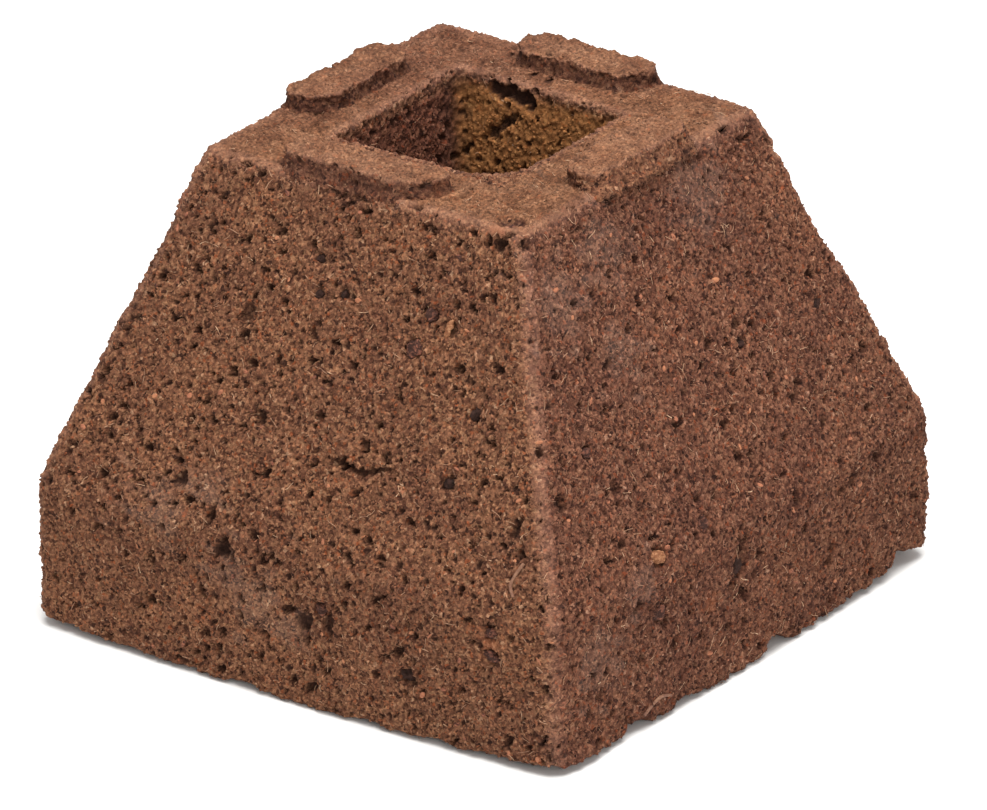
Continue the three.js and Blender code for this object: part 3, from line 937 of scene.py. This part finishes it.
def bits_tree(name, shape, defaults):
    """Strews bits over the faces of some zones. shape(tree) makes one bit, one unit long."""
    tree, given, out = shape_tree(name, {
        "Lowest Zone": 0,
        "Zone": 0,                # the highest one
        "Per Square Metre": 1e6,
        "Smallest": 0.2,          # millimetres
        "Largest": 0.55,
        "Tilt": 3.14,             # how far bits may lean away from lying flat, in radians
        "Bend": 0.0,
        "Seed": 1,
        "Surface": None,
        **defaults,
    })
    seed, tilt = given.outputs["Seed"], given.outputs["Tilt"]
    smallest, largest = given.outputs["Smallest"], given.outputs["Largest"]
    zone = add(tree, MARK, {"data_type": "INT"}, {"Name": "zone"})
    zone = next(socket for socket in zone.outputs if socket.enabled)
    above = add(tree, "FunctionNodeCompare", {"data_type": "INT", "operation": "GREATER_EQUAL"},
                {2: zone, 3: given.outputs["Lowest Zone"]})
    below = add(tree, "FunctionNodeCompare", {"data_type": "INT", "operation": "LESS_EQUAL"},
                {2: zone, 3: given.outputs["Zone"]})
    chosen = add(tree, "FunctionNodeBooleanMath", {"operation": "AND"}, {0: above, 1: below})
    hollow = add(tree, MARK, None, {"Name": "hollow"})
    level = add(tree, RANGE, None, {"Value": hollow, "From Max": 0.5, "To Min": 1.0, "To Max": 0.0})
    density = add(tree, MATH, TIMES, {0: level, 1: given.outputs["Per Square Metre"]})
    spread = add(tree, "GeometryNodeDistributePointsOnFaces", {"distribute_method": "RANDOM"},
                 {"Mesh": given.outputs["Skin"], "Selection": chosen, "Density": density, "Seed": seed})
    tint = add(tree, "FunctionNodeRandomValue", {"data_type": "FLOAT"}, {"Seed": seed})
    tinted = add(tree, "GeometryNodeStoreNamedAttribute", {"data_type": "FLOAT", "domain": "POINT"},
                 {"Geometry": spread.outputs["Points"], "Name": "tint", "Value": tint})

    size_seed = add(tree, MATH, PLUS, {0: seed, 1: 50.0})
    share = add(tree, "FunctionNodeRandomValue", {"data_type": "FLOAT_VECTOR"},
                {"Min": (0.0, 0.0, 0.0), "Max": (1.0, 1.0, 1.0), "Seed": size_seed})
    span = add(tree, MATH, MINUS, {0: largest, 1: smallest})
    size = add(tree, VECTOR_MATH, SCALED, {0: share, "Scale": span})
    size = add(tree, VECTOR_MATH, PLUS, {0: size, 1: smallest})
    size = add(tree, VECTOR_MATH, SCALED, {0: size, "Scale": MM})
    tilt_back = add(tree, MATH, TIMES, {0: tilt, 1: -1.0})
    lean_low = add(tree, "ShaderNodeCombineXYZ", None, {"X": tilt_back, "Y": tilt_back, "Z": -HALF_TURN})
    lean_high = add(tree, "ShaderNodeCombineXYZ", None, {"X": tilt, "Y": tilt, "Z": HALF_TURN})
    lean_seed = add(tree, MATH, PLUS, {0: seed, 1: 90.0})
    lean = add(tree, "FunctionNodeRandomValue", {"data_type": "FLOAT_VECTOR"},
               {"Min": lean_low, "Max": lean_high, "Seed": lean_seed})
    lean = add(tree, "FunctionNodeEulerToRotation", None, {0: lean})
    stood = add(tree, "FunctionNodeRotateRotation", {"rotation_space": "LOCAL"},
                {0: spread.outputs["Rotation"], 1: lean})
    placed = add(tree, "GeometryNodeInstanceOnPoints", None,
                 {"Points": tinted, "Instance": shape(tree), "Rotation": stood, "Scale": size})
    real = add(tree, "GeometryNodeRealizeInstances", None, {0: placed})

    wander = add(tree, NOISE, None, {"Vector": millimetres(tree), "Scale": 0.55, "Detail": 1.0})
    wander = add(tree, VECTOR_MATH, MINUS, {0: wander.outputs["Color"], 1: NOISE_MIDDLE})
    bend = add(tree, MATH, TIMES, {0: given.outputs["Bend"], 1: MM})
    wander = add(tree, VECTOR_MATH, SCALED, {0: wander, "Scale": bend})
    bent = add(tree, MOVE, None, {"Geometry": real, "Offset": wander})
    place = add(tree, "GeometryNodeInputPosition")
    parts = add(tree, "ShaderNodeSeparateXYZ", None, {0: place})
    height = add(tree, MATH, LARGER, {0: parts.outputs["Z"], 1: LOWEST_BIT * MM})
    kept = add(tree, "ShaderNodeCombineXYZ", None,
               {"X": parts.outputs["X"], "Y": parts.outputs["Y"], "Z": height})
    above_floor = add(tree, MOVE, None, {"Geometry": bent, "Position": kept})
    return end_tree(tree, above_floor, given, out)


def grain_shape(tree):
    """A grain: an uneven ball of twenty faces."""
    return add(tree, "GeometryNodeMeshIcoSphere", None, {"Radius": 0.5, "Subdivisions": 1})


def flake_shape(tree):
    """A flake of bark: longer than it is wide, and thin."""
    ball = add(tree, "GeometryNodeMeshIcoSphere", None, {"Radius": 0.5, "Subdivisions": 2})
    return add(tree, "GeometryNodeTransform", None, {"Geometry": ball, "Scale": (1.25, 0.8, 0.3)})


def strand_shape(tree):
    """A strand: a thin three-sided rod along X, in four lengths so that it can bend."""
    line = add(tree, "GeometryNodeCurvePrimitiveLine", None,
               {"Start": (-0.5, 0.0, 0.0), "End": (0.5, 0.0, 0.0)})
    dense = add(tree, "GeometryNodeResampleCurve", None, {"Curve": line, "Count": 5})
    outline = add(tree, "GeometryNodeCurvePrimitiveCircle", None, {"Resolution": 3, "Radius": 0.033})
    return add(tree, "GeometryNodeCurveToMesh", None,
               {"Curve": dense, "Profile Curve": outline, "Fill Caps": True})


def strew_bits(skin, pads, grit, fibre, bark):
    """Grit on each face, and short fibres, hairs and bark flakes over the block, each layer a piece.
    They replace no part of the frame: they lie on the block's skin."""
    grains = bits_tree("grit", grain_shape, {})
    strands = bits_tree("strands", strand_shape, {"Smallest": 0.5, "Largest": 1.6, "Tilt": 0.15, "Bend": 1.0})
    flakes = bits_tree("flakes", flake_shape, {"Smallest": 0.4, "Largest": 1.0, "Tilt": 0.3})
    many = 1.25e6
    fine = {"Smallest": 0.14, "Largest": 0.32}
    long = {"Smallest": 1.2, "Largest": 2.4, "Tilt": 1.0}
    peaty, fibrous = (grit, "pressed_peat"), (fibre, "bast_fibre")
    # Each layer: name, mesh it lies on, tree, lowest and highest zone, bits per square metre, seed,
    # sizes that differ from the tree's own, and surface with its slot.
    layers = [("grit_" + side, skin, grains, (zone, zone), many, zone, {}, peaty)
              for zone, side in enumerate(SIDE_NAMES)]
    layers += [
        ("grit_top", skin, grains, (ZONE_TOP, ZONE_TOP), many, 8, fine, peaty),
        ("grit_plug_hole", skin, grains, (ZONE_HOLE, ZONE_HOLE), many, 7, {}, peaty),
    ]
    layers += [("grit_pad_" + row[0], pad, grains, (0, 0), many, 9, fine, peaty)
               for row, pad in zip(PADS, pads)]
    layers += [
        ("short_fibres", skin, strands, (0, 3), 0.23e6, 20, {}, fibrous),
        ("short_fibres_top", skin, strands, (ZONE_TOP, ZONE_HOLE), 0.25e6, 21, {}, fibrous),
        ("hairs", skin, strands, (0, 3), 0.0025e6, 22, long, fibrous),
        ("bark_flakes", skin, flakes, (0, 3), 0.013e6, 23, {}, (bark, "red_bark")),
    ]
    for name, mesh, tree, (lowest, highest), density, seed, sizes, (surface, slot) in layers:
        values = {"Lowest Zone": lowest, "Zone": highest, "Per Square Metre": density, "Seed": seed}
        bits = grown_mesh(name, mesh, tree, {**values, **sizes, "Surface": surface})
        bits.shade_smooth()
        finish_piece(name, bits, surface, slot)


# ---- coarse pieces held in the skin ----

INSETS = {
    "red_bark": ["bark_chip_top_corner", "bark_chip_band_corner_upper", "bark_chip_band_corner_lower",
                 "bark_chip_left_slope_low", "bark_chip_left_slope_high", "bark_chip_left_band",
                 "bark_chip_right_band", "bark_chip_right_slope_low", "bark_chip_right_slope_high"],
    "pale_wood": ["wood_splinter_left_slope", "wood_chip_right_slope"],
    "dark_peat": ["peat_grain_left_top", "peat_grain_left_upper", "peat_grain_left_middle",
                  "peat_grain_left_ridge", "peat_grain_left_lower", "peat_grain_left_band",
                  "peat_grain_right_band", "peat_grain_right_middle", "peat_grain_right_upper"],
    "bast_fibre": ["bast_fibre_corner", "bast_fibre_lower_edge", "bast_fibre_hole_rim"],
}
# How far each kind stands above the skin round it, and how high its own grain is.
PROUD = {"red_bark": 0.16, "pale_wood": 0.24, "dark_peat": -0.1, "bast_fibre": 0.45}
SURFACE_GRAIN = {"red_bark": 0.45, "pale_wood": 0.35, "dark_peat": 0.5, "bast_fibre": 0.05}


def outward_at(place):
    """The direction out of the block at a place on the top or on one of the two inset sides."""
    if place[2] > TOP_PLANE - 1:
        return np.array([0.0, 0.0, 1.0])
    rise = (CORNER_WIDTH - TOP_WIDTH) / 2 if place[2] > BAND_HEIGHT else 0.0
    out = np.array([-1.0, 0.0, 0.0]) if place[0] < place[1] else np.array([0.0, -1.0, 0.0])
    out = out * (TOP_PLANE - BAND_HEIGHT) + np.array([0.0, 0.0, rise])
    return out / np.linalg.norm(out)


def inset_places():
    """Middle, outward direction and radius of every coarse inset piece but the fibres."""
    for group, nodes in INSETS.items():
        for node in nodes if group != "bast_fibre" else []:
            points = points_of(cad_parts[node].data)
            middle = (points.min(axis=0) + points.max(axis=0)) / 2
            out = outward_at(middle)
            radius = np.linalg.norm(points - middle, axis=1).max() * 0.8
            sunk = 0.0
            if middle[2] < TOP_PLANE - 1:
                sunk = wall_reach(middle[2]) + SIDE_BULGE / 2 - np.abs(middle[:2]).max()
            yield middle + out * sunk, out, radius


def bit_surface_tree():
    """Rounds a faceted bit and gives it a broken, crumbly surface."""
    tree, given, out = shape_tree("broken_surface", {"Height": 0.15, "Width": 0.8, "Surface": None})
    fine = add(tree, "GeometryNodeSubdivideMesh", None, {"Mesh": given.outputs["Skin"], "Level": 1})
    rounded = add(tree, "GeometryNodeSubdivisionSurface", None, {"Mesh": fine, "Level": 1})
    per_width = add(tree, MATH, OVER, {0: 1.0, 1: given.outputs["Width"]})
    rough = add(tree, NOISE, None, {"Vector": millimetres(tree), "Scale": per_width, "Detail": 3.0})
    rough = add(tree, MATH, MINUS, {0: rough, 1: 0.5})
    rough = add(tree, MATH, TIMES, {0: rough, 1: given.outputs["Height"]})
    rough = add(tree, MATH, TIMES, {0: rough, 1: 3 * MM})
    normal = add(tree, "GeometryNodeInputNormal")
    offset = add(tree, VECTOR_MATH, SCALED, {0: normal, "Scale": rough})
    moved = add(tree, MOVE, None, {"Geometry": rounded, "Offset": offset})
    return end_tree(tree, moved, given, out)


def seat_on_skin(mesh, skin_points, proud):
    """Moves a bit in or out until it stands proud of the skin round it by the given height."""
    points = points_of(mesh)
    middle = (points.min(axis=0) + points.max(axis=0)) / 2
    out = outward_at(middle)
    across = skin_points - middle
    depth = across @ out
    radius = np.linalg.norm(points - middle, axis=1).max()
    flat_gap = np.linalg.norm(across - depth[:, None] * out, axis=1)
    near = (flat_gap > radius) & (flat_gap < radius + 1.5) & (np.abs(depth) < 3)
    shift = depth[near].mean() + proud - ((points - middle) @ out).max()
    put_points(mesh, points + shift * out)


def build_insets(skin_points, materials):
    """The finished look of every coarse piece, in its own place."""
    tree = bit_surface_tree()
    for group, nodes in INSETS.items():
        for node in nodes:
            mesh = welded(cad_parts[node].data.copy())
            seat_on_skin(mesh, skin_points, PROUD[group])
            values = {"Height": SURFACE_GRAIN[group], "Surface": materials[group]}
            bit = grown_mesh(node + "_look", mesh, tree, values)
            bit.shade_smooth()
            finish_piece(node + "_look", bit, materials[group], group, [node])


# ---- surfaces ----

def start_material(name, roughness, specular):
    """A material with its shader, and the place on the object in millimetres."""
    material = bpy.data.materials.new(name)
    material.use_nodes = True
    tree = material.node_tree
    shader = tree.nodes["Principled BSDF"]
    shader.inputs["Roughness"].default_value = roughness
    shader.inputs["Specular IOR Level"].default_value = specular
    place = add(tree, "ShaderNodeTexCoord")
    point = add(tree, VECTOR_MATH, SCALED, {0: place.outputs["Object"], "Scale": 1 / MM})
    return material, tree, shader, point


def share_of(tree, name, most):
    """A mark on the mesh, as a share from 0 to most."""
    mark = add(tree, SHADER_MARK, {"attribute_name": name})
    return add(tree, MATH, TIMES, {0: mark.outputs["Fac"], 1: most})


def finish_peat(tree, shader, point, browns):
    """What every bit of the pressed mix shares: specks, blotches, stains, painted shade in hollows and on the
    pads' risers, painted shade and light with plum, ochre and mauve tints on the hole's walls and the -Y
    side, rubbed edges and fuzz. The closed top, which was pressed hardest, has a paler and patchier ground."""
    openness = add(tree, SHADER_MARK, {"attribute_name": "openness"})
    ground = add(tree, RANGE, None, {"Value": openness.outputs["Fac"], "From Min": 0.3, "From Max": 0.6,
                                     "To Min": 0.35, "To Max": 0.0})
    patchy = add(tree, MATH, TIMES, {0: ground, 1: 2.4})
    trodden = add(tree, NOISE, None, {"Vector": point, "Scale": 0.32, "Detail": 3.0, "Roughness": 0.6})
    trodden = add(tree, RAMP, {"stops": [(0.36, "#c4b6ae"), (0.5, "#ede6e0"), (0.62, "#ffffff")]},
                  {0: trodden})
    speck = add(tree, NOISE, None, {"Vector": point, "Scale": 2.6, "Detail": 3.0, "Roughness": 0.7})
    speck = add(tree, RAMP, {"stops": [(0.3, "#6e6a68"), (0.5, "#bdbab8"), (0.7, "#fffcf8")]}, {0: speck})
    blotch = add(tree, NOISE, None, {"Vector": point, "Scale": 0.09, "Detail": 4.0, "Roughness": 0.6})
    blotch = add(tree, RAMP, {"stops": [(0.3, "#d8c6c0"), (0.5, "#ecdfd4"), (0.7, "#fff0e0")]}, {0: blotch})
    upright = add(tree, VECTOR_MATH, TIMES, {0: point, 1: (1.0, 1.0, 0.2)})
    drag = add(tree, NOISE, None, {"Vector": upright, "Scale": 1.5, "Detail": 2.0})
    drag = add(tree, RAMP, {"stops": [(0.38, "#c8bcb8"), (0.62, "#ffffff")]}, {0: drag})
    layers = [
        ("MIX", ground, colour("#b78e71")),
        ("MULTIPLY", patchy, trodden),
        ("MULTIPLY", 0.9, speck),
        ("MULTIPLY", 0.8, blotch),
        # Painted shade with a plum tint on the hole's +Y wall and the pads' risers, painted light with an
        # ochre tint on its +X wall, and painted shade with a mauve tint on the -Y side.
        ("MULTIPLY", share_of(tree, "plum", 0.75), colour("#e0ccdc")),
        ("MULTIPLY", share_of(tree, "ochre", 0.8), colour("#ffeab8")),
        ("SCREEN", share_of(tree, "ochre", 0.7), colour("#7c5430")),
        ("MULTIPLY", share_of(tree, "mauve", 1.0), colour("#f2ecfc")),
        ("MIX", share_of(tree, "rust", 0.3), colour("#a86644")),
        ("MIX", share_of(tree, "dust", 0.065), colour("#b8a294")),
        ("MULTIPLY", share_of(tree, "mauve", 0.7), drag),
        ("SCREEN", share_of(tree, "wear", 0.33), colour("#805c4e")),
        # Painted shade: the colour darkens in pores, pits, dents and the hole's far corner.
        ("MIX", share_of(tree, "hollow", 0.85), colour("#2b1a15")),
    ]
    mixed = browns
    for how, share, over in layers:
        mixed = add(tree, "ShaderNodeMix", {"data_type": "RGBA", "blend_type": how},
                    {"Factor": share, "A": mixed, "B": over})
    tree.links.new(mixed.outputs[2], shader.inputs["Base Color"])
    fuzz = add(tree, NOISE, None, {"Vector": point, "Scale": 5.5, "Detail": 2.0, "Roughness": 0.6})
    bump = add(tree, "ShaderNodeBump", None, {"Strength": 0.8, "Distance": 0.16 * MM, "Height": fuzz})
    tree.links.new(bump.outputs[0], shader.inputs["Normal"])


PEAT_BROWNS = [
    (0.0, "#432b22"), (0.14, "#6c4737"), (0.42, "#8c634d"), (0.66, "#9d7158"),
    (0.86, "#b08668"), (0.94, "#9c5a3b"), (1.0, "#c8a386"),
]


CRUMB_SIZE = 0.4             # millimetres; crumbs of one brown each


def pressed_peat_material():
    """Pressed peat and bark fibre: open, dull and crumbly. Each crumb has its own brown, from nearly
    black humus to tan and red bark, the pores are darkened with painted shade, and rubbed edges are paler."""
    material, tree, shader, point = start_material("pressed_peat_and_bark_fibre", 0.95, 0.15)
    bend = add(tree, NOISE, None, {"Vector": point, "Scale": 1.6, "Detail": 2.0})
    bent = add(tree, VECTOR_MATH, TIMES_PLUS,
               {0: bend.outputs["Color"], 1: (0.9, 0.9, 0.9), 2: point})
    crumb = add(tree, CELLS, None, {"Vector": bent, "Scale": 1 / CRUMB_SIZE, "Detail": 0.0})
    tone = add(tree, "ShaderNodeSeparateColor", None, {0: crumb.outputs["Color"]})
    browns = add(tree, RAMP, {"stops": PEAT_BROWNS}, {0: tone.outputs["Red"]})
    finish_peat(tree, shader, point, browns)
    return material


def grit_material():
    """Loose grit of the same mix: each grain one brown, so that the skin reads as single crumbs."""
    material, tree, shader, point = start_material("loose_peat_grit", 0.93, 0.15)
    tint = add(tree, SHADER_MARK, {"attribute_name": "tint"})
    browns = add(tree, RAMP, {"stops": PEAT_BROWNS}, {0: tint.outputs["Fac"]})
    finish_peat(tree, shader, point, browns)
    return material


def streaked_material(name, tones, roughness, specular, streak, bump_height):
    """Fibrous stuff: tones that run in streaks along its grain, with a split, rough surface."""
    material, tree, shader, point = start_material(name, roughness, specular)
    run = add(tree, VECTOR_MATH, TIMES, {0: point, 1: streak})
    grain = add(tree, NOISE, None,
                {"Vector": run, "Scale": 1.0, "Detail": 4.0, "Roughness": 0.65, "Distortion": 0.6})
    tint = add(tree, SHADER_MARK, {"attribute_name": "tint"})
    shift = add(tree, MATH, TIMES_PLUS, {0: tint.outputs["Fac"], 1: 0.5, 2: -0.12})
    level = add(tree, MATH, PLUS, {0: grain, 1: shift})
    tone = add(tree, RAMP, {"stops": tones}, {0: level})
    tree.links.new(tone.outputs[0], shader.inputs["Base Color"])
    bump = add(tree, "ShaderNodeBump", None, {"Strength": 0.7, "Distance": bump_height * MM, "Height": grain})
    tree.links.new(bump.outputs[0], shader.inputs["Normal"])
    return material


def bark_material():
    """Red pine bark: layered and brittle, from dark plum-brown to orange where it has split freshly."""
    tones = [(0.36, "#35201a"), (0.46, "#6b4234"), (0.58, "#8a5641"), (0.74, "#9c6449"), (1.0, "#ad7653")]
    return streaked_material("red_pine_bark", tones, 0.85, 0.2, (1.5, 1.5, 3.0), 0.2)


def wood_material():
    """Bare wood: pale straw with fine darker lines, dull where it was torn."""
    tones = [(0.34, "#75492f"), (0.46, "#9c6d4c"), (0.62, "#b98a66"), (1.0, "#cfa887")]
    return streaked_material("raw_softwood", tones, 0.8, 0.25, (1.6, 1.6, 3.6), 0.12)


def dark_peat_material():
    """A crumb of well rotted peat: almost black, plum-brown where the light catches it."""
    tones = [(0.2, "#20140f"), (0.5, "#38231d"), (0.75, "#4f3129"), (1.0, "#6a463a")]
    return streaked_material("rotted_peat_crumb", tones, 0.9, 0.2, (1.8, 1.8, 1.8), 0.2)


def fibre_material():
    """Bast fibre: thin tan strands, some bleached and some stained by the peat."""
    tones = [(0.3, "#6b4838"), (0.5, "#88634c"), (0.72, "#a27b60"), (0.88, "#b89273"), (1.0, "#d0b292")]
    return streaked_material("bast_fibre_strand", tones, 0.7, 0.3, (1.5, 1.5, 1.5), 0.04)


def floor_material():
    """A matt white board: plain and even, so that only the block's soft shadow shows on it."""
    material, tree, shader, point = start_material("matt_white_board", 0.9, 0.1)
    mottle = add(tree, NOISE, None, {"Vector": point, "Scale": 0.02, "Detail": 2.0})
    paper = add(tree, RAMP, {"stops": [(0.35, "#f1f1f0"), (0.65, "#f5f5f4")]}, {0: mottle})
    tree.links.new(paper.outputs[0], shader.inputs["Base Color"])
    return material


# ---- stage, light and camera ----

CAMERA_AZIMUTH = -53.13
CAMERA_ELEVATION = 23.94
CAMERA_ROLL = -1.02
CAMERA_DISTANCE = 1.5166     # metres
CAMERA_LENS = 444.7
CAMERA_SENSOR = 36
AIM_RIGHT = 0.85             # from the underside's centre to the view's centre, along the view's axes
AIM_UP = 22.8
FLOOR_REACH = 4.0            # metres
LIGHTS_AIM = (0, 0, 0.03)    # metres; the middle of the block


def place_camera():
    """A long lens that looks down at the block's front corner, with a slight roll."""
    azimuth, elevation = math.radians(CAMERA_AZIMUTH), math.radians(CAMERA_ELEVATION)
    flat = math.cos(elevation)
    back = Vector((math.sin(azimuth) * flat, -math.cos(azimuth) * flat, math.sin(elevation)))
    level_right = Vector((0, 0, 1)).cross(back).normalized()
    level_up = back.cross(level_right)
    roll = math.radians(CAMERA_ROLL)
    right = math.cos(roll) * level_right + math.sin(roll) * level_up
    up = -math.sin(roll) * level_right + math.cos(roll) * level_up
    camera = bpy.data.objects.new("camera", bpy.data.cameras.new("camera"))
    camera.data.lens = CAMERA_LENS
    camera.data.sensor_width = CAMERA_SENSOR
    camera.rotation_mode = "QUATERNION"
    camera.rotation_quaternion = Matrix((right, up, back)).transposed().to_quaternion()
    camera.location = back * CAMERA_DISTANCE + right * AIM_RIGHT * MM + up * AIM_UP * MM
    bpy.context.scene.collection.objects.link(camera)
    bpy.context.scene.camera = camera


def add_light(name, place, size, power, tint):
    """A square soft light that faces the middle of the block. place and size are in metres."""
    data = bpy.data.lights.new(name, "AREA")
    data.shape = "SQUARE"
    data.size = size
    data.energy = power
    data.color = tint
    light = bpy.data.objects.new(name, data)
    light.location = place
    light.rotation_mode = "QUATERNION"
    light.rotation_quaternion = (Vector(place) - Vector(LIGHTS_AIM)).to_track_quat("Z", "Y")
    bpy.context.scene.collection.objects.link(light)


def build_stage():
    """The board under the block, an even pale surround and two soft lights."""
    mesh = bpy.data.meshes.new("floor")
    corners = [(FLOOR_REACH * x, FLOOR_REACH * y, 0) for x, y in ((-1, -1), (1, -1), (1, 1), (-1, 1))]
    mesh.from_pydata(corners, [], [(0, 1, 2, 3)])
    floor = bpy.data.objects.new("floor", mesh)
    floor.data.materials.append(floor_material())
    bpy.context.scene.collection.objects.link(floor)
    world = bpy.data.worlds.new("studio")
    world.use_nodes = True
    world.node_tree.nodes["Background"].inputs[0].default_value = (1, 1, 1, 1)
    world.node_tree.nodes["Background"].inputs[1].default_value = 0.5
    bpy.context.scene.world = world
    add_light("overhead", (-0.1, -0.15, 0.95), 0.7, 15.5, (1.0, 0.99, 0.97))
    add_light("front", (-0.75, -0.85, 0.45), 0.6, 4.0, (1.0, 0.98, 0.95))
    bpy.context.scene.view_settings.view_transform = "Standard"


# ---- assembly ----

place_camera()
build_stage()
peat = pressed_peat_material()
fibre = fibre_material()
bark = bark_material()
inset_materials = {
    "red_bark": bark,
    "pale_wood": wood_material(),
    "dark_peat": dark_peat_material(),
    "bast_fibre": fibre,
}
relief = relief_tree()
skin_whole, skin_points = build_moulding(relief, peat)
pads = build_pads(relief, peat)
strew_bits(skin_whole, pads, grit_material(), fibre, bark)
build_insets(skin_points, inset_materials)
